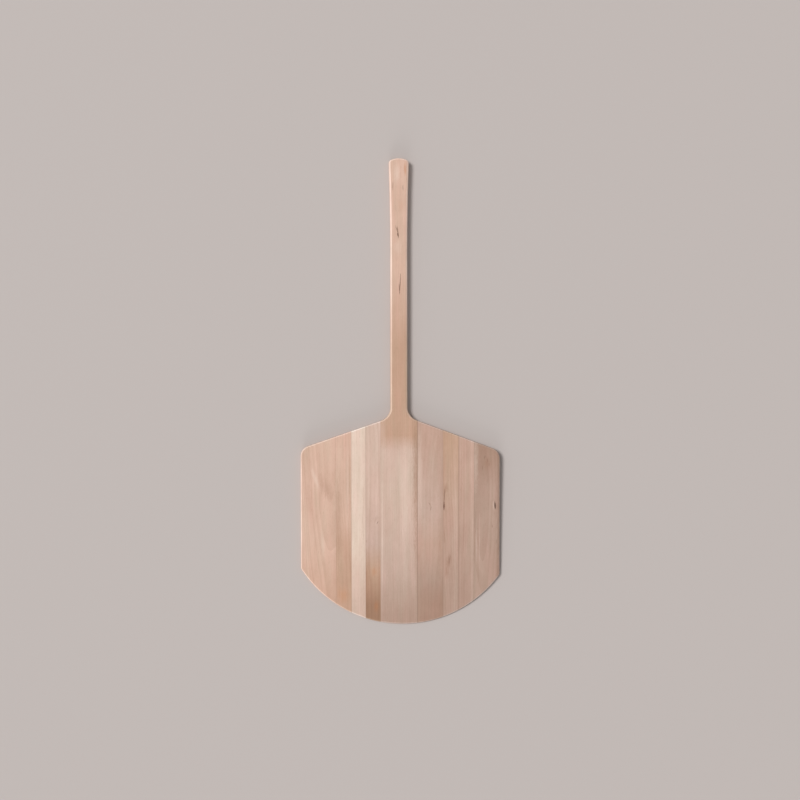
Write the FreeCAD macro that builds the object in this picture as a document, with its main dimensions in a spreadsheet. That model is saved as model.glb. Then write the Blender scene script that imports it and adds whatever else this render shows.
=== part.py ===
"""Wooden pizza peel: nine boards glued edge to edge, cut to outline, tapered and eased.

Millimetres, +Z up. The origin is the centre of the peel's length and width, on the flat
underside. +Y points to the end of the handle, -Y to the front edge of the blade.

It is made the way a workshop makes it. The outline is sawn from a thick panel, the top face
of the blade is planed to a thin front edge, and every outer edge is rounded over. The nine
boards of the panel are then what each glue joint leaves between it and the next one.
"""

import FreeCAD, Part
import math
import os
import Sketcher

Vector = FreeCAD.Vector

# alias, value in mm or degrees, what it measures
DIMENSIONS = (
    ("overall_length", 1070, "front edge to the end of the handle"),
    ("blade_width", 457, "across the parallel sides of the blade (18 in)"),
    ("front_radius", 276, "curve of the front edge"),
    ("front_right_by", 4.5, "centre of that curve, right of the blade's centre line"),
    ("front_corner_radius", 8, "where the front curve meets the sides"),
    ("left_side_top", 386.5, "front edge to the upper end of the left side"),
    ("right_side_top", 381, "front edge to the upper end of the right side"),
    ("left_shoulder_angle", 19.1, "slope of the left shoulder from square across"),
    ("right_shoulder_angle", 20.3, "slope of the right shoulder"),
    ("shoulder_radius", 25, "corner between shoulder and side"),
    ("neck_radius", 32, "inside curve from shoulder to handle"),
    ("handle_left_by", 3, "handle's centre line, left of the blade's"),
    ("handle_width", 39.5, "parallel stretch of the handle"),
    ("grip_width", 46, "handle at its widest, just below the end"),
    ("flare_start", 322, "origin to where the handle begins to widen"),
    ("flare_length", 193, "from there to the widest place"),
    ("end_corner_radius", 10, "corners of the handle end"),
    ("end_crown_radius", 45, "slight crown across the handle end"),
    ("panel_thickness", 20, "handle and neck"),
    ("front_thickness", 6.5, "blade at the front edge, before rounding"),
    ("taper_start", 100, "origin to where the top face leaves the level"),
    ("taper_blend_radius", 900, "soft change from level to slope"),
    ("handle_top_round", 5, "edges of the handle, top face"),
    ("handle_bottom_round", 5, "edges of the handle, underside"),
    ("blade_top_round", 3.5, "edges of the blade, top face"),
    ("blade_bottom_round", 2.5, "edges of the blade, underside"),
    ("saw_margin", 20, "how far the cutting shapes reach past the panel"),
)

# node, alias of its width, width in mm; left edge of the blade to right edge
BOARDS = (
    ("left_board_4", 81),
    ("left_board_3", 35.5),
    ("left_board_2", 32.5),
    ("left_board_1", 34),
    ("handle_board", 85),
    ("right_board_1", 58.5),
    ("right_board_2", 35.5),
    ("right_board_3", 35.5),
    ("right_board_4", 59.5),
)

START, END, CENTRE = 1, 2, 3
ORIGIN = -1
SIDES = {"right": 1, "left": -1}
SAME_PLACE = 0.5  # mm


def make_sheet(doc):
    """Put every driving dimension in a spreadsheet cell with an alias."""
    sheet = doc.addObject("Spreadsheet::Sheet", "dims")
    rows = list(DIMENSIONS)
    rows += [(name + "_width", width, "board width") for name, width in BOARDS]
    for row, (alias, value, note) in enumerate(rows, start=1):
        sheet.set("A%d" % row, note)
        sheet.set("B%d" % row, str(value))
        sheet.setAlias("B%d" % row, alias)
    doc.recompute()
    return sheet


def origin_plane(body, role):
    """The body's own base plane with this role."""
    return next(f for f in body.Origin.OriginFeatures if f.Role == role)


def new_sketch(doc, name, role):
    """A body with an empty sketch on one of its own base planes."""
    body = doc.addObject("PartDesign::Body", name)
    sketch = body.newObject("Sketcher::SketchObject", name + "_sketch")
    sketch.AttachmentSupport = [(origin_plane(body, role), "")]
    sketch.MapMode = "FlatFace"
    return body, sketch


def bind(sketch, name, expression, *constraint):
    """Add a dimension to the sketch and bind it to the spreadsheet."""
    value = sketch.evalExpression(expression)
    if constraint[0] == "Angle":
        value = value.getValueAs("rad")
    index = sketch.addConstraint(Sketcher.Constraint(*constraint, float(value)))
    sketch.renameConstraint(index, name)
    sketch.setExpression("Constraints." + name, expression)


def arc(centre_x, centre_y, radius, first, last):
    """Arc of a circle, anticlockwise between two angles in degrees."""
    circle = Part.Circle(Vector(centre_x, centre_y, 0), Vector(0, 0, 1), radius)
    return Part.ArcOfCircle(circle, math.radians(first), math.radians(last))


def line(x1, y1, x2, y2):
    return Part.LineSegment(Vector(x1, y1, 0), Vector(x2, y2, 0))


def corner_place(curve_radius, corner_radius, half_width):
    """Where a small corner arc runs into the broad arc that closes an end of the outline.

    Gives the corner's centre, across and along from the broad arc's centre, and the angle
    in degrees at which the two arcs meet.
    """
    reach = curve_radius - corner_radius
    across = half_width - corner_radius
    slant = math.acos(across / reach)
    return across, reach * math.sin(slant), math.degrees(slant)


class Outline:
    """The sawn outline of the whole peel, seen from above.

    It was sawn by eye: the handle stands a little left of the blade's centre line, the front
    curve a little right of it, and the right shoulder is lower and steeper than the left one.

    Each half runs from the crown of the handle end down to the front curve. Both are drawn in
    the same order, so the left half's arcs run the other way between the same neighbours.
    """

    def __init__(self, sketch, size):
        self.sketch = sketch
        self.size = size
        half_length = size.overall_length / 2
        self.crown_y = half_length - size.end_crown_radius
        self.front_y = size.front_radius - half_length
        self.end_corner = corner_place(
            size.end_crown_radius, size.end_corner_radius, size.grip_width / 2)
        self.front_corners = {
            word: corner_place(size.front_radius, size.front_corner_radius,
                               size.blade_width / 2 - side * size.front_right_by)
            for word, side in SIDES.items()
        }

        slant = self.end_corner[-1]
        self.crown = sketch.addGeometry(
            arc(-size.handle_left_by, self.crown_y, size.end_crown_radius, slant, 180 - slant))
        slants = {word: place[-1] for word, place in self.front_corners.items()}
        self.front = sketch.addGeometry(
            arc(size.front_right_by, self.front_y, size.front_radius,
                180 + slants["left"], 360 - slants["right"]))
        self.halves = {}
        for word, side in SIDES.items():
            self.halves[word] = {**self._draw_handle(side), **self._draw_blade(word, side)}
            self._join(word)
            self._dimension_half(word)
        self._dimension_both()

    def _arc(self, side, centre_x, centre_y, radius, first, last):
        """Arc given for the right half, mirrored if this is the left half."""
        if side < 0:
            first, last = 180 - last, 180 - first
        return self.sketch.addGeometry(arc(side * centre_x, centre_y, radius, first, last))

    def _line(self, side, x1, y1, x2, y2):
        return self.sketch.addGeometry(line(side * x1, y1, side * x2, y2))

    def _draw_handle(self, side):
        """One half of the grip and handle, down to where the neck begins."""
        size = self.size
        middle = -side * size.handle_left_by
        handle_x = middle + size.handle_width / 2
        flare_radius = size.flare_length ** 2 / (size.grip_width - size.handle_width)
        lean = math.degrees(math.asin(size.flare_length / flare_radius))
        across, along, slant = self.end_corner
        return {
            "end_corner": self._arc(side, middle + across, self.crown_y + along,
                                    size.end_corner_radius, -lean, slant),
            "flare": self._arc(side, handle_x + flare_radius, size.flare_start, flare_radius,
                               180 - lean, 180),
            "handle": self._line(side, handle_x, size.flare_start, handle_x, 0),
        }

    def _draw_blade(self, word, side):
        """One half of the neck, shoulder, side and front corner."""
        size = self.size
        slope = getattr(size, word + "_shoulder_angle")
        side_top = getattr(size, word + "_side_top") - size.overall_length / 2
        away = Vector(math.sin(math.radians(slope)), math.cos(math.radians(slope)), 0)
        side_x = size.blade_width / 2
        corner = Vector(side_x - size.shoulder_radius, side_top, 0)
        outer = corner + away * size.shoulder_radius
        neck_x = size.handle_width / 2 - side * size.handle_left_by + size.neck_radius
        inner_x = neck_x - away.x * size.neck_radius
        inner_y = outer.y + (outer.x - inner_x) * math.tan(math.radians(slope))
        across, along, slant = self.front_corners[word]
        front_x = across + side * size.front_right_by
        front_y = self.front_y - along
        return {
            "neck": self._arc(side, neck_x, inner_y + away.y * size.neck_radius,
                              size.neck_radius, 180, 270 - slope),
            "shoulder": self._line(side, outer.x, outer.y, inner_x, inner_y),
            "shoulder_corner": self._arc(side, corner.x, corner.y, size.shoulder_radius,
                                         0, 90 - slope),
            "side": self._line(side, side_x, side_top, side_x, front_y),
            "front_corner": self._arc(side, front_x, front_y, size.front_corner_radius,
                                      -slant, 0),
        }

    def _join(self, word):
        """Every element runs smoothly into the next."""
        part = self.halves[word]
        first, last = (START, END) if word == "right" else (END, START)
        joints = (
            (self.crown, first, part["end_corner"], last),
            (part["end_corner"], first, part["flare"], first),
            (part["flare"], last, part["handle"], START),
            (part["handle"], END, part["neck"], first),
            (part["neck"], last, part["shoulder"], END),
            (part["shoulder"], START, part["shoulder_corner"], last),
            (part["shoulder_corner"], first, part["side"], START),
            (part["side"], END, part["front_corner"], last),
            (part["front_corner"], first, self.front, last),
        )
        for joint in joints:
            self.sketch.addConstraint(Sketcher.Constraint("Tangent", *joint))

    def _dimension_half(self, word):
        sketch = self.sketch
        part = self.halves[word]
        for name in ("handle", "side"):
            sketch.addConstraint(Sketcher.Constraint("Vertical", part[name]))
        handle_ends = (ORIGIN, START, part["handle"], END)
        side_ends = (ORIGIN, START, part["side"], START)
        handle_x = "dims.handle_width / 2 - dims.handle_left_by"
        angle = "180 deg - dims.right_shoulder_angle * 1 deg"
        if word == "left":
            handle_ends = handle_ends[2:] + handle_ends[:2]
            side_ends = side_ends[2:] + side_ends[:2]
            handle_x = "dims.handle_width / 2 + dims.handle_left_by"
            angle = "dims.left_shoulder_angle * 1 deg"
        bind(sketch, word + "_handle", handle_x, "DistanceX", *handle_ends)
        bind(sketch, word + "_side", "dims.blade_width / 2", "DistanceX", *side_ends)
        bind(sketch, word + "_flare_start", "dims.flare_start",
             "DistanceY", ORIGIN, START, part["handle"], START)
        bind(sketch, word + "_side_top", "dims.overall_length / 2 - dims.%s_side_top" % word,
             "DistanceY", part["side"], START, ORIGIN, START)
        bind(sketch, word + "_shoulder_angle", angle, "Angle", part["shoulder"])

    def _dimension_both(self):
        """Radii, which are the same left and right, and the curves at the two ends."""
        sketch = self.sketch
        right, left = self.halves["right"], self.halves["left"]
        for name in ("end_corner", "flare", "neck", "shoulder_corner", "front_corner"):
            sketch.addConstraint(Sketcher.Constraint("Equal", right[name], left[name]))
        radii = (
            ("end_crown_radius", self.crown),
            ("front_radius", self.front),
            ("end_corner_radius", right["end_corner"]),
            ("neck_radius", right["neck"]),
            ("shoulder_radius", right["shoulder_corner"]),
            ("front_corner_radius", right["front_corner"]),
        )
        for name, curve in radii:
            bind(sketch, name, "dims." + name, "Radius", curve)
        bind(sketch, "flare_radius", "dims.flare_length ^ 2 / (dims.grip_width - dims.handle_width)",
             "Radius", right["flare"])
        bind(sketch, "crown_height", "dims.overall_length / 2 - dims.end_crown_radius",
             "DistanceY", ORIGIN, START, self.crown, CENTRE)
        bind(sketch, "crown_offset", "dims.handle_left_by",
             "DistanceX", self.crown, CENTRE, ORIGIN, START)
        bind(sketch, "front_depth", "dims.overall_length / 2 - dims.front_radius",
             "DistanceY", self.front, CENTRE, ORIGIN, START)
        bind(sketch, "front_offset", "dims.front_right_by",
             "DistanceX", ORIGIN, START, self.front, CENTRE)


def sawn_outline(doc, size):
    """The panel's outline, as thick as the panel."""
    body, sketch = new_sketch(doc, "sawn_outline", "XY_Plane")
    Outline(sketch, size)
    pad = body.newObject("PartDesign::Pad", "outline_pad")
    pad.Profile = sketch
    pad.setExpression("Length", "dims.panel_thickness")
    return body


def planed_section(doc, size):
    """The long section: level over the handle and neck, then sloping to the front edge."""
    body, sketch = new_sketch(doc, "planed_section", "YZ_Plane")
    half = size.overall_length / 2
    back = half + size.saw_margin
    fall = size.panel_thickness - size.front_thickness
    slope = math.atan2(fall, half - size.taper_start)
    blend = size.taper_blend_radius
    level_end = -size.taper_start + blend * math.tan(slope / 2)
    slope_top = Vector(level_end - blend * math.sin(slope),
                       size.panel_thickness - blend * (1 - math.cos(slope)), 0)
    low = size.front_thickness

    base = sketch.addGeometry(line(-half, 0, back, 0))
    rear = sketch.addGeometry(line(back, 0, back, size.panel_thickness))
    level = sketch.addGeometry(line(back, size.panel_thickness, level_end, size.panel_thickness))
    curve = sketch.addGeometry(arc(level_end, size.panel_thickness - blend, blend,
                                   90, 90 + math.degrees(slope)))
    ramp = sketch.addGeometry(line(-half, low, slope_top.x, slope_top.y))
    front = sketch.addGeometry(line(-half, low, -half, 0))

    for joint in ((base, END, rear, START), (rear, END, level, START),
                  (ramp, START, front, START), (front, END, base, START)):
        sketch.addConstraint(Sketcher.Constraint("Coincident", *joint))
    for joint in ((level, END, curve, START), (curve, END, ramp, END)):
        sketch.addConstraint(Sketcher.Constraint("Tangent", *joint))
    sketch.addConstraint(Sketcher.Constraint("Horizontal", base))
    sketch.addConstraint(Sketcher.Constraint("Horizontal", level))
    sketch.addConstraint(Sketcher.Constraint("Vertical", rear))
    sketch.addConstraint(Sketcher.Constraint("Vertical", front))
    sketch.addConstraint(Sketcher.Constraint("PointOnObject", base, START, ORIGIN))
    bind(sketch, "front_reach", "dims.overall_length / 2",
         "DistanceX", base, START, ORIGIN, START)
    bind(sketch, "rear_reach", "dims.overall_length / 2 + dims.saw_margin",
         "DistanceX", ORIGIN, START, base, END)
    bind(sketch, "thickness", "dims.panel_thickness", "DistanceY", rear, START, rear, END)
    bind(sketch, "front_thickness", "dims.front_thickness",
         "DistanceY", front, END, front, START)
    bind(sketch, "blend_radius", "dims.taper_blend_radius", "Radius", curve)
    bind(sketch, "taper_angle",
         "atan((dims.panel_thickness - dims.front_thickness)"
         " / (dims.overall_length / 2 - dims.taper_start))",
         "Angle", ramp)

    pad = body.newObject("PartDesign::Pad", "section_pad")
    pad.Profile = sketch
    pad.Midplane = True
    pad.setExpression("Length", "dims.blade_width + 2 * dims.saw_margin")
    return body


def edge_points(edge):
    """Parameters of the edge's start, middle and end."""
    first, last = edge.ParameterRange
    return first, (first + last) / 2, last


def rounding(edge, size):
    """Radii at the two ends of an outer edge, or None for an edge that stays as it is.

    The handle is rounded for the hand and the blade less so. The change from one to the
    other runs along the inside curve of the neck.
    """
    first, middle, last = (edge.valueAt(p) for p in edge_points(edge))
    if max(abs(first.y - middle.y), abs(first.y - last.y)) < SAME_PLACE:
        return None
    if middle.z < SAME_PLACE:
        handle, blade = size.handle_bottom_round, size.blade_bottom_round
    else:
        handle, blade = size.handle_top_round, size.blade_top_round

    def radius_at(point):
        behind_blade = point.y > -size.taper_start
        from_middle = abs(point.x + size.handle_left_by)
        on_handle = behind_blade and from_middle < size.grip_width / 2 + SAME_PLACE
        return handle if on_handle else blade

    # the fillet takes the radius at an edge's far end first
    return radius_at(last), radius_at(first)


def eased_panel(doc, blank, size):
    """The sawn and planed panel with every outer edge rounded over."""
    eased = doc.addObject("Part::Fillet", "eased_panel")
    eased.Base = blank
    radii = []
    for number, edge in enumerate(blank.Shape.Edges, start=1):
        pair = rounding(edge, size)
        if pair:
            radii.append((number, *pair))
    eased.Edges = radii
    return eased


def board_cut(doc, eased, previous, name, first, last):
    """One board: what its two glue joints leave of the panel."""
    box = doc.addObject("Part::Box", name + "_stock")
    margin_before = " + dims.saw_margin" if first else ""
    margin_after = " + dims.saw_margin" if last else ""
    box.setExpression("Length", "dims.%s_width%s%s" % (name, margin_before, margin_after))
    box.setExpression("Width", "dims.overall_length + 2 * dims.saw_margin")
    box.setExpression("Height", "dims.panel_thickness + 2 * dims.saw_margin")
    if first:
        box.setExpression("Placement.Base.x", "-dims.blade_width / 2 - dims.saw_margin")
    else:
        box.setExpression("Placement.Base.x", "%s.Placement.Base.x + %s.Length"
                          % (previous.Name, previous.Name))
    box.setExpression("Placement.Base.y", "-dims.overall_length / 2 - dims.saw_margin")
    box.setExpression("Placement.Base.z", "-dims.saw_margin")
    board = doc.addObject("Part::Common", name)
    board.Base = eased
    board.Tool = box
    board.Label = name
    return box, board


def check(doc, boards):
    """Stop if any object failed or any board isn't one good solid."""
    for obj in doc.Objects:
        if set(obj.State) & {"Invalid", "Error"}:
            raise RuntimeError("%s failed: %s" % (obj.Label, obj.State))
    for board in boards:
        if board.Shape.isNull() or not board.Shape.isValid():
            raise RuntimeError(board.Label + " has no valid shape")
        if len(board.Shape.Solids) != 1:
            raise RuntimeError("%s has %d solids" % (board.Label, len(board.Shape.Solids)))


def main():
    doc = FreeCAD.newDocument("pizza_peel")
    size = make_sheet(doc)
    outline = sawn_outline(doc, size)
    section = planed_section(doc, size)
    blank = doc.addObject("Part::Common", "blank")
    blank.Base = outline
    blank.Tool = section
    doc.recompute()

    eased = eased_panel(doc, blank, size)
    doc.recompute()

    boards = []
    box = None
    for name, _ in BOARDS:
        first = name == BOARDS[0][0]
        last = name == BOARDS[-1][0]
        box, board = board_cut(doc, eased, box, name, first, last)
        boards.append(board)
    doc.recompute()
    check(doc, boards)

    os.makedirs("parts", exist_ok=True)
    for board in boards:
        board.Shape.exportStep("parts/%s.step" % board.Label)
        print("%s: %.0f cm3" % (board.Label, board.Shape.Volume / 1000))


main()
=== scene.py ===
"""Looks for the wooden pizza peel: the wood of its nine boards, a floor, light and a camera.

Metres, +Z up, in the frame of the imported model, where +Y points to the end of the handle. The
boards stay as the CAD made them. Each one gets a wood of its own, cut from its own place in its own
log, so that the growth rings run on from the face to the sides and the end grain.
"""

import math
from dataclasses import dataclass

import bpy
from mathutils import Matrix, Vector


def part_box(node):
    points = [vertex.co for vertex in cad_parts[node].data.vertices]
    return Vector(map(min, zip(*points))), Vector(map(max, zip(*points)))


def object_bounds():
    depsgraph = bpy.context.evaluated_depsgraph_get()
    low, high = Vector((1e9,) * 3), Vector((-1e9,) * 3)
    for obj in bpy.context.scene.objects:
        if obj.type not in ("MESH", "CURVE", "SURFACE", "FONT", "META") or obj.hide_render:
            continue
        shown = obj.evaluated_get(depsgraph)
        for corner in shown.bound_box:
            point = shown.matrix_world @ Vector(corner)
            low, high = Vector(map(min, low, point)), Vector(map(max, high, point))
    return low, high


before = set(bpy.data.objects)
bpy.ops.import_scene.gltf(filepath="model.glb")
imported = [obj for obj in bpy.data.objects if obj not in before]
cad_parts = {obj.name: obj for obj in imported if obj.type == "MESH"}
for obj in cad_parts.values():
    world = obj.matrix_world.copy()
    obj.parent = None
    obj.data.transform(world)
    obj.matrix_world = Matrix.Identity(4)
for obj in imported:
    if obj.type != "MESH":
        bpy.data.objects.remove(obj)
cad_box = [list(corner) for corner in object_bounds()]
LOW, HIGH = (Vector(corner) for corner in cad_box)

MM = 0.001
THROUGH = 1000  # mm, a depth that takes a mark right through the board

# Screen colours, 0 to 255. First the tones of the wood, from pale to dark.
CREAM = (226, 200, 182)
BLOND = (210, 180, 163)
PEACH = (213, 176, 155)
HONEY = (204, 164, 141)
ASH = (197, 168, 152)
ROSE = (194, 159, 141)
TAN = (194, 156, 131)
DUSK = (178, 147, 130)
DUN = (168, 134, 115)
UMBER = (158, 120, 94)

# The marks in it, pale, warm and dark, and a painted shade.
PALE = (244, 222, 206)
MILKY = (214, 184, 168)
CORAL = (206, 140, 108)
AMBER = (198, 138, 94)
GINGER = (196, 134, 94)
COPPER = (190, 130, 90)
RUST = (180, 118, 76)
BROWN = (150, 108, 80)
# painted shade, for the blade's right-hand edge where it lies away from the light
PAINTED_SHADE = (124, 92, 74)
MINERAL = (94, 56, 30)
KNOT = (72, 42, 20)

GLUE = (96, 66, 48)
END_GRAIN = (168, 128, 98)
END_RING = (122, 84, 58)
FLOOR = (191, 182, 178)

WORN_AND_HIGHLIGHT_PALER = (1.37, 1.60, 1.80, 1)  # what an eased edge's red, green and blue are multiplied by: partly rubbed wear, partly a painted highlight of the light the rounded edge catches


@dataclass
class Mark:
    """A spindle of darker or paler wood that lies along the grain. Millimetres."""

    x: float  # from the board's left edge
    y: float  # from the middle of the peel
    half_width: float
    half_length: float
    share: float  # how much of the mark's own colour shows at its middle
    lean: float = 0  # degrees, anticlockwise seen from above
    colour: tuple = MINERAL
    depth: float = 4  # down from the top face
    soft: float = 0.7  # share of the radius over which it fades
    swirl: float = 0  # how far the grain round it is pushed aside, 0 to 1


def patch(x, y, half_width, half_length, share, colour=BROWN, lean=0, depth=8):
    """A mark that fades from its middle to its edge."""
    return Mark(x, y, half_width, half_length, share, lean, colour, depth, soft=1)


def band(x, half_width, share, y=-300, half_length=400, colour=BROWN):
    """A soft-edged stripe that runs along the board and right through it."""
    return patch(x, y, half_width, half_length, share, colour, depth=THROUGH)


@dataclass
class Board:
    """How one board was cut and how it looks. Millimetres and degrees."""

    tones: tuple  # (y, screen colour), from the front edge back; the wood's own tone with painted shade in it, darker towards the front and on the right-hand boards where the light fell off
    pith: tuple  # middle of the log: across from the board's middle, up from the underside
    lean: tuple  # how the log's axis turns away from the board: seen from above, from the side
    ring: float = 3.4  # growth of one year
    figure: float = 1.0  # contrast of the rings
    glue: tuple = (0.2, 0.2)  # how dark the joint is at the left and right edges
    marks: tuple = ()


# Tones and marks are placed where the photo shows them.
BOARDS = {
    "left_board_4": Board(
        tones=((-500, HONEY), (-350, PEACH)),
        pith=(24, -58), lean=(1.2, 3.2), ring=4.6, figure=1.3, glue=(0, 0.10),
        marks=(
            band(81, 13, 0.12),
            patch(58, -222, 18, 52, 0.28, lean=28, depth=16),
            patch(34, -200, 7, 36, 0.26, PALE, lean=20, depth=12),
            patch(17, -240, 11, 52, 0.14, lean=4, depth=12),
            patch(50, -350, 7, 40, 0.18, PALE, lean=4, depth=12),
        ),
    ),
    "left_board_3": Board(
        tones=((-440, TAN), (-350, HONEY), (-280, PEACH)),
        pith=(-90, -50), lean=(0.6, 0.4), ring=3.6, glue=(0.14, 0.24),
        marks=(
            band(5, 12, 0.32, -295, 150),
            band(26, 5, 0.16, -220, 150, PALE),
            band(31.8, 1.6, 0.30, -210, 110),
            band(33.5, 1.2, 0.20, -400, 90),
            patch(16, -468, 19, 26, 0.40, AMBER, depth=12),
        ),
    ),
    "left_board_2": Board(
        tones=((-480, BLOND), (-380, CREAM)),
        pith=(120, -90), lean=(0.2, 0.3), figure=0.5, glue=(0.10, 0.20),
        marks=(
            band(30, 9, 0.16),
            band(24.5, 0.9, 0.16, -310, 60),
            band(27.5, 0.9, 0.16, -320, 60),
        ),
    ),
    "left_board_1": Board(
        tones=((-490, UMBER), (-410, TAN), (-352, ASH), (-250, BLOND)),
        pith=(28, -40), lean=(0.8, 1.6), ring=3.8, figure=1.1, glue=(0.18, 0.08),
        marks=(
            Mark(27, -301, 1.5, 5, 0.45, -24, swirl=0.45),
            patch(24, -292, 5, 11, 0.20, lean=-14),
            patch(24, -494, 9, 20, 0.42, RUST, depth=12),
            patch(19, -414, 9, 15, 0.40, COPPER, depth=12),
            patch(6, -405, 6, 55, 0.30, depth=12),
            band(1.6, 1.5, 0.45, -430, 90),
            band(32, 2.2, 0.24, -245, 110),
        ),
    ),
    "handle_board": Board(
        # tan round the neck, paler on the blade below it and towards the grip end: partly the
        # wood's own tone, partly painted light and shade for how these faces take the light
        tones=((-510, DUSK), (-410, ASH), (-250, BLOND), (-135, BLOND), (-100, TAN),
               (100, TAN), (270, PEACH)),
        pith=(-140, -50), lean=(0.15, 0.2), figure=0.7, glue=(0.04, 0.46),
        marks=(
            band(3, 15, 0.35, -92, 50, MILKY),
            band(4, 3, 0.30, -330, 200, PALE),
            band(56, 14, 0.24, -250, 200, PALE),
            band(85, 17, 0.60, -190, 240),
            band(84, 8, 0.30, -390, 130),
            Mark(40.6, 363, 1.3, 16, 0.9, 6, soft=0.5, swirl=0.3),
            Mark(40.4, 359, 2.1, 5.5, 0.85, 12),
            Mark(36.8, 373, 1.0, 9, 0.7, 14),
            Mark(45.4, 247, 1.2, 27, 0.75, -3, soft=0.5, swirl=0.2),
            Mark(43.6, 237, 1.0, 13, 0.6, 3, soft=0.5),
            patch(57, 508, 4, 20, 0.60, GINGER, depth=6),
            patch(38, 500, 10, 34, 0.32, PALE, depth=6),
            Mark(29, 471, 2.4, 14, 0.30, -3),
            Mark(52, 466, 3, 9, 0.22, 4),
            patch(48, 426, 8, 20, 0.20, CORAL, depth=6),
            patch(40, 330, 14, 26, 0.20, PALE, depth=6),
            Mark(36, 420, 1.2, 9, 0.15, 3),
        ),
    ),
    "right_board_1": Board(
        tones=((-490, DUN), (-430, DUSK), (-350, ROSE), (-270, ASH), (-120, ROSE)),
        pith=(50, -110), lean=(0.4, 0.7), figure=0.7, glue=(0.30, 0.28),
        marks=(
            band(57, 18, 0.20),
            band(5, 9, 0.24, -190, 140, PALE),
            Mark(27.5, -258, 0.9, 6.5, 0.45, 22, swirl=0.4),
            Mark(30.5, -268, 0.9, 6.5, 0.45, -12),
            patch(29, -262, 4, 12, 0.14, lean=6),
        ),
    ),
    "right_board_2": Board(
        tones=((-460, DUSK), (-300, ROSE), (-120, TAN)),
        pith=(-50, -60), lean=(0.5, 0.8), glue=(0.20, 0.38),
        marks=(
            band(0, 17, 0.18),
            band(28, 9, 0.10, colour=PALE),
            Mark(2.3, -262, 1.7, 13, 0.95, -1, soft=0.45),
            Mark(3.0, -240, 1.3, 24, 0.6, -3, swirl=0.25),
            patch(7, -222, 7, 19, 0.36, lean=-8),
            patch(13, -391, 9, 24, 0.36, lean=-6),
            Mark(15, -386, 2.5, 15, 0.24, -6),
            patch(8, -416, 6, 18, 0.35),
            patch(3, -330, 4, 30, 0.30),
        ),
    ),
    "right_board_3": Board(
        tones=((-440, DUSK), (-200, ROSE)),
        pith=(100, -30), lean=(0.3, 0.2), glue=(0.22, 0.28),
        marks=(
            band(1.5, 2.0, 0.16),
            band(7.2, 1.3, 0.30, -200, 120),
            band(12.2, 1.3, 0.24),
            band(7.4, 1.3, 0.18, -400, 140),
            band(31, 7, 0.12, colour=PALE),
        ),
    ),
    "right_board_4": Board(
        tones=((-220, DUSK), (-140, DUN)),
        pith=(-22, -52), lean=(0.8, 2.6), ring=4.0, figure=1.3, glue=(0.22, 0),
        marks=(
            band(2, 12, 0.26, -160, 90, PALE),
            # painted shade along the blade's right-hand edge, away from the light
            band(58, 9, 0.50, colour=PAINTED_SHADE),
            band(5.8, 1.6, 0.18, -350, 90, PALE),
            band(13, 1.6, 0.18, -350, 100, PALE),
            band(1.5, 1.5, 0.30, -350, 60),
            patch(45, -262, 2.5, 14, 0.28, PALE, lean=2),
            Mark(48.3, -262, 1.9, 11, 0.92, 2, KNOT, soft=0.45, swirl=0.5),
            patch(30, -165, 17, 22, 0.32, lean=-10),
            Mark(24.5, -151, 1.6, 6, 0.35, -8),
            Mark(31, -158, 1.8, 7, 0.30, 6),
            Mark(34, -167, 1.4, 8, 0.28, -4),
            Mark(19, -176, 1.4, 8, 0.22, 5),
            Mark(42, -309, 0.9, 5.5, 0.45, 3),
            Mark(52, -344, 0.9, 6, 0.3, 0),
        ),
    ),
}


def screen(colour):
    """A screen colour, 0 to 255, as the linear one that shaders take."""
    def linear(value):
        value /= 255
        return value / 12.92 if value <= 0.04045 else ((value + 0.055) / 1.055) ** 2.4
    return (*(linear(value) for value in colour), 1)


class Graph:
    """Builds one material's nodes. An input is a plain value or another node's output."""

    def __init__(self, name):
        self.material = bpy.data.materials.new(name)
        self.material.use_nodes = True
        self.tree = self.material.node_tree
        self.tree.nodes.clear()

    def node(self, kind, inputs=None, **settings):
        made = self.tree.nodes.new("ShaderNode" + kind)
        for name, value in settings.items():
            setattr(made, name, value)
        for key, value in (inputs or {}).items():
            if isinstance(value, bpy.types.NodeSocket):
                self.tree.links.new(value, made.inputs[key])
            else:
                made.inputs[key].default_value = value
        return made.outputs

    def maths(self, operation, *values):
        return self.node("Math", dict(enumerate(values)), operation=operation)[0]

    def times(self, *values):
        product = values[0]
        for value in values[1:]:
            product = self.maths("MULTIPLY", product, value)
        return product

    def total(self, *values):
        result = values[0]
        for value in values[1:]:
            result = self.maths("ADD", result, value)
        return result

    def swing(self, pattern, strength, middle=0.5):
        """How far a pattern is from its middle, times a strength."""
        return self.times(self.total(pattern, -middle), strength)

    def vectors(self, operation, *values):
        return self.node("VectorMath", dict(enumerate(values)), operation=operation)

    def step(self, value, low, high, start=0.0, end=1.0):
        """Goes smoothly from start to end as the value goes from low to high."""
        inputs = {"Value": value, "From Min": low, "From Max": high, "To Min": start, "To Max": end}
        return self.node("MapRange", inputs, interpolation_type="SMOOTHSTEP")[0]

    def noise(self, place, detail=2.0, roughness=0.5, output=0):
        inputs = {"Vector": place, "Scale": 1, "Detail": detail, "Roughness": roughness}
        return self.node("TexNoise", inputs)[output]

    def paint(self, colour, share, other, blend="MIX"):
        inputs = {0: share, 6: colour, 7: other}
        return self.node("Mix", inputs, data_type="RGBA", blend_type=blend)[2]

    def ramp(self, value, stops):
        outputs = self.node("ValToRGB", {0: value})
        elements = outputs[0].node.color_ramp.elements
        while len(elements) < len(stops):
            elements.new(1)
        for element, (position, colour) in zip(elements, stops):
            element.position = position
            element.color = colour
        return outputs[0]


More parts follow.
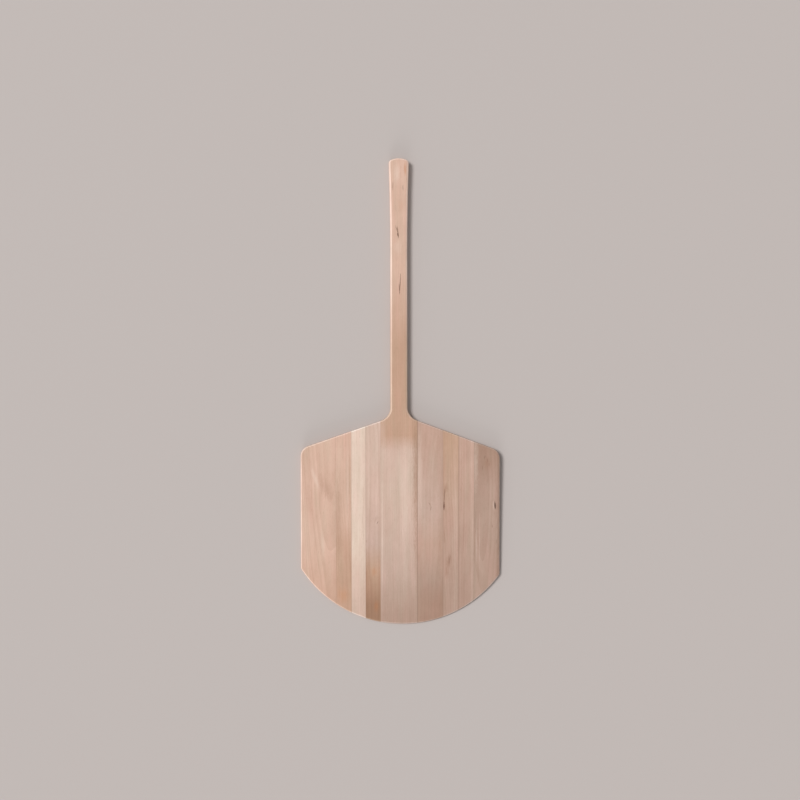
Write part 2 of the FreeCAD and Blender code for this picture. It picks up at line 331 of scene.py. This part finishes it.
class Wood(Graph):
    """The wood of one board. Every pattern in it is solid, so it shows on all faces."""

    # the noise level at which each begins to show, and the one at which it shows fully
    PORES = (0.60, 0.74)
    FLECKS = (0.64, 0.74)
    FLECKED_CLOUDS = (0.45, 0.65)
    LATEWOOD = (0.30, 0.96)  # the same, as shares of a year's growth

    # how far the normal points up or down, from 0 to 1, where an eased edge starts and shows fully
    FACE_TO_EDGE = (0.99, 0.92)
    SIDE_TO_EDGE = (0.15, 0.60)
    SIDE_TO_END = (0.5, 0.95)  # how far the normal points along the board, for end grain

    GLUE_FADE = (0.3 * MM, 1.0 * MM)  # away from the joint
    HELD = (-120 * MM, 60 * MM)  # y, from the blade to the part that hands hold
    APART = Vector((3.1, 5.7, 1.9))  # between one board's place in the patterns and the next one's

    def __init__(self, name, board, seed):
        super().__init__(name + "_maple")
        self.board = board
        self.seed = seed
        low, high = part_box(name)
        self.left, self.right = low.x, high.x
        self.middle = (low.x + high.x) / 2
        self.mesh_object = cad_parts[name]
        place = self.node("TexCoord")
        self.place = place["Object"]
        self.normal = self.node("SeparateXYZ", {0: place["Normal"]})
        self.xyz = self.node("SeparateXYZ", {0: self.place})
        self.wavy = self._wavy()
        self._grow()
        self._shade()

    def _point(self, mark):
        """The mark's middle, on the board's top face."""
        x, y = self.left + mark.x * MM, mark.y * MM
        above = Vector((x, y, 2 * HIGH.z))
        found, point, *_ = self.mesh_object.ray_cast(above, (0, 0, -1))
        return point if found else Vector((x, y, HIGH.z))

    def _from_mark(self, place, mark, wider=1.0, longer=1.0):
        """Distance from the mark's middle, which is 1 at its edge."""
        size = Vector((mark.half_width * wider, mark.half_length * longer, mark.depth * wider)) * MM
        inputs = {"Vector": place, "Location": self._point(mark),
                  "Rotation": (0, 0, math.radians(mark.lean)), "Scale": size}
        local = self.node("Mapping", inputs, vector_type="TEXTURE")[0]
        return self.vectors("LENGTH", local)["Value"]

    def _along_grain(self, place, across, along):
        """The place scaled for a pattern of that size in millimetres across and along."""
        scale = (1 / (across * MM), 1 / (along * MM), 1 / (across * MM))
        inputs = {"Vector": place, "Location": self.APART * self.seed, "Scale": scale}
        return self.node("Mapping", inputs)[0]

    def _wavy(self):
        """The place, shifted sideways by the slow waver of the grain and by the knots."""
        reach = (14 * MM, 0, 10 * MM)
        waver = self.noise(self._along_grain(self.place, 60, 260), detail=1, output=1)
        waver = self.vectors("SUBTRACT", waver, (0.5, 0.5, 0.5))[0]
        waver = self.vectors("MULTIPLY", waver, reach)[0]
        wavy = self.vectors("ADD", self.place, waver)[0]
        for mark in self.board.marks:
            if mark.swirl:
                away = self._from_mark(self.place, mark, wider=5, longer=2.2)
                near = self.step(away, 0, 1, mark.swirl, 0)
                aside = self.times(self.total(self.xyz[0], -self._point(mark).x), near)
                aside = self.node("CombineXYZ", {0: aside})[0]
                wavy = self.vectors("SUBTRACT", wavy, aside)[0]
        return wavy

    def _grow(self):
        """Growth rings round the log's axis, with years of uneven width and tone."""
        board = self.board
        pith = (self.middle + board.pith[0] * MM, 0, board.pith[1] * MM)
        lean = (math.radians(board.lean[1]), 0, math.radians(board.lean[0]))
        flat = (1, 1e4, 1)  # takes the length of the log out of the distance from its axis
        log = self.node("Mapping", {"Vector": self.wavy, "Location": pith, "Rotation": lean,
                                    "Scale": flat}, vector_type="TEXTURE")[0]
        self.radius = self.vectors("LENGTH", log)["Value"]
        changes_per_metre = 70
        years_gained = 3.0
        uneven = {"W": self.times(self.radius, changes_per_metre), "Scale": 1, "Detail": 2}
        uneven = self.node("TexNoise", uneven, noise_dimensions="1D")[0]
        years = self.total(self.times(self.radius, 1 / (board.ring * MM)),
                           self.times(uneven, years_gained))
        self.latewood = self.step(self.maths("FRACT", years), *self.LATEWOOD)
        self.year = self.node("TexWhiteNoise", {"W": self.maths("FLOOR", years)},
                              noise_dimensions="1D")[0]

    def _shade(self):
        """Patterns that change the tone, each from 0 to 1."""
        outward, along = self.times(self.radius, 90), self.times(self.xyz[1], 2.2)
        place = self.node("CombineXYZ", {0: outward, 1: along, 2: float(self.seed)})[0]
        self.bands = self.noise(place, 2, 0.55)
        self.streaks = self.noise(self._along_grain(self.wavy, 5, 240), 3, 0.6)
        self.fibres = self.noise(self._along_grain(self.wavy, 0.9, 45), 2, 0.6)
        self.clouds = self.noise(self._along_grain(self.wavy, 24, 60), 4, 0.62)
        pores = self.noise(self._along_grain(self.place, 0.7, 9), 1)
        self.pores = self.step(pores, *self.PORES)
        flecks = self.noise(self._along_grain(self.wavy, 2.2, 16), 2)
        self.flecks = self.times(self.step(flecks, *self.FLECKS),
                                 self.step(self.clouds, *self.FLECKED_CLOUDS))
        self.ragged = self.noise(self._along_grain(self.place, 2.5, 22), 3, 0.6)
        self.frayed = self.noise(self._along_grain(self.place, 0.45, 7), 2, 0.7)
        self.warmth = self.noise(self._along_grain(self.wavy, 16, 110), 2)

    def _contrast(self):
        """Factor on the tone from all the patterns together."""
        figure = self.board.figure
        patterns = (  # strength, and the middle that leaves the tone as it is
            (self.bands, 0.20 * figure, 0.5),
            (self.streaks, 0.12, 0.5),
            (self.fibres, 0.09, 0.5),
            (self.clouds, 0.24, 0.5),
            (self.year, 0.03 * figure, 0.5),
            (self.latewood, -0.055 * figure, 0.25),
            (self.pores, -0.10, 0),
            (self.flecks, -0.14, 0),
        )
        shade = 1.0
        for pattern, strength, middle in patterns:
            shade = self.total(self.swing(pattern, strength, middle), shade)
        # where wood is darker it is warmer too, and it is pinker in some places than in others
        green_deeper, blue_deeper = 1.25, 1.5
        pink = self.swing(self.warmth, 0.12)
        less_green = self.times(pink, -0.4)
        red = self.times(shade, self.total(pink, 1.0))
        green = self.times(self.maths("POWER", shade, green_deeper), self.total(less_green, 1.0))
        blue = self.maths("POWER", shade, blue_deeper)
        return self.node("CombineColor", {0: red, 1: green, 2: blue})[0]

    def _tone(self):
        """The board's tone along its length, from its front end to its back end."""
        reach = HIGH.y - LOW.y
        along = self.times(self.total(self.xyz[1], -LOW.y), 1 / reach)
        stops = [((y * MM - LOW.y) / reach, screen(colour)) for y, colour in self.board.tones]
        return self.ramp(along, stops)

    def _mark(self, colour, mark):
        away = self.total(self._from_mark(self.place, mark), self.swing(self.ragged, 0.9),
                          self.swing(self.frayed, 1.1))
        inside = self.step(away, 1 - mark.soft, 1, mark.share, 0)
        return self.paint(colour, inside, screen(mark.colour))

    def _glue_line(self, colour, edge, dark):
        away = self.maths("ABSOLUTE", self.total(self.xyz[0], -edge))
        return self.paint(colour, self.step(away, *self.GLUE_FADE, dark, 0), screen(GLUE))

    def _end_grain(self, colour):
        """End grain drinks in more, so it is darker, and its rings and pores show more."""
        shows = self.step(self.maths("ABSOLUTE", self.normal[1]), *self.SIDE_TO_END)
        ringed = self.total(self.times(self.latewood, 0.38), self.times(self.pores, 0.22))
        colour = self.paint(colour, self.times(shows, 0.35), screen(END_GRAIN))
        return self.paint(colour, self.times(shows, ringed), screen(END_RING))

    def _eased(self):
        """Where the outer edges are rounded over, from 0 to 1."""
        upright = self.maths("ABSOLUTE", self.normal[2])
        return self.times(self.step(upright, *self.FACE_TO_EDGE),
                          self.step(upright, *self.SIDE_TO_EDGE))

    def _worn_and_highlighted(self, colour, eased):
        """Eased edges are painted paler, unevenly: partly rubbed wear, partly a painted highlight
        of the light they catch.
        """
        rubbed_and_lit = self.total(0.85, self.swing(self.ragged, 0.9), self.swing(self.frayed, 0.5))
        return self.paint(colour, self.times(eased, rubbed_and_lit), WORN_AND_HIGHLIGHT_PALER, "MULTIPLY")

    def _roughness(self, eased):
        """Smoother on the handle, from use, and on the eased edges."""
        held = self.step(self.xyz[1], *self.HELD)
        return self.total(0.56, self.swing(self.fibres, 0.22), self.times(held, -0.10),
                          self.times(eased, -0.06))

    def _relief(self):
        """The fine bump of fibres, streaks and pores."""
        height = self.total(self.times(self.fibres, 0.5), self.times(self.streaks, 0.4),
                            self.times(self.pores, -0.5), self.times(self.latewood, 0.12))
        return self.node("Bump", {"Strength": 0.45, "Distance": 0.15 * MM, "Height": height})[0]

    def make(self):
        """The whole material: tone and patterns, then marks, joints, end grain, and worn edges with
        a painted highlight.
        """
        colour = self.paint(self._tone(), 1.0, self._contrast(), "MULTIPLY")
        for mark in self.board.marks:
            colour = self._mark(colour, mark)
        for edge, dark in zip((self.left, self.right), self.board.glue):
            if dark:
                colour = self._glue_line(colour, edge, dark)
        colour = self._end_grain(colour)
        eased = self._eased()
        shader = self.node("BsdfPrincipled", {"Base Color": self._worn_and_highlighted(colour, eased),
                                              "Roughness": self._roughness(eased),
                                              "Normal": self._relief()})
        self.node("OutputMaterial", {0: shader[0]})
        return self.material


def make_floor():
    """A plain pale floor, just under the peel."""
    reach = 40.0
    below = 0.2 * MM
    corners = ((-reach, -reach), (reach, -reach), (reach, reach), (-reach, reach))
    mesh = bpy.data.meshes.new("floor")
    mesh.from_pydata([(x, y, LOW.z - below) for x, y in corners], [], [(0, 1, 2, 3)])
    graph = Graph("pale_floor")
    shader = graph.node("BsdfPrincipled", {"Base Color": screen(FLOOR), "Roughness": 0.75})
    graph.node("OutputMaterial", {0: shader[0]})
    mesh.materials.append(graph.material)
    floor = bpy.data.objects.new("floor", mesh)
    bpy.context.scene.collection.objects.link(floor)


def make_light(name, azimuth, elevation, width, power):
    """A far soft lamp. Degrees: azimuth anticlockwise from +X, height, and how wide it looks."""
    light = bpy.data.lights.new(name, "SUN")
    light.angle = math.radians(width)
    light.energy = power
    lamp = bpy.data.objects.new(name, light)
    lamp.rotation_euler = (0, math.radians(90 - elevation), math.radians(azimuth))
    bpy.context.scene.collection.objects.link(lamp)


def make_world(strength):
    world = bpy.data.worlds.new("studio")
    world.use_nodes = True
    background = world.node_tree.nodes["Background"]
    background.inputs["Color"].default_value = (1, 1, 1, 1)
    background.inputs["Strength"].default_value = strength
    bpy.context.scene.world = world


def make_camera():
    """Straight above the peel, with the view a little in front of its middle."""
    height = 2.5
    view_width = 1.838
    x, y = -0.5 * MM, -19.5 * MM
    turn = math.radians(-0.05)
    data = bpy.data.cameras.new("camera")
    data.sensor_width = 36
    data.lens = data.sensor_width * height / view_width
    camera = bpy.data.objects.new("camera", data)
    camera.location = (x, y, HIGH.z / 2 + height)
    camera.rotation_euler = (0, 0, turn)
    bpy.context.scene.collection.objects.link(camera)
    bpy.context.scene.camera = camera


for seed, (name, board) in enumerate(BOARDS.items(), start=1):
    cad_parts[name].data.materials[0] = Wood(name, board, seed).make()

make_floor()
make_world(0.38)
make_light("key", azimuth=155, elevation=57, width=22, power=2.1)
make_light("side", azimuth=184, elevation=16, width=30, power=0.07)
make_light("front", azimuth=262, elevation=16, width=30, power=0.75)
make_camera()
bpy.context.scene.view_settings.view_transform = "Standard"
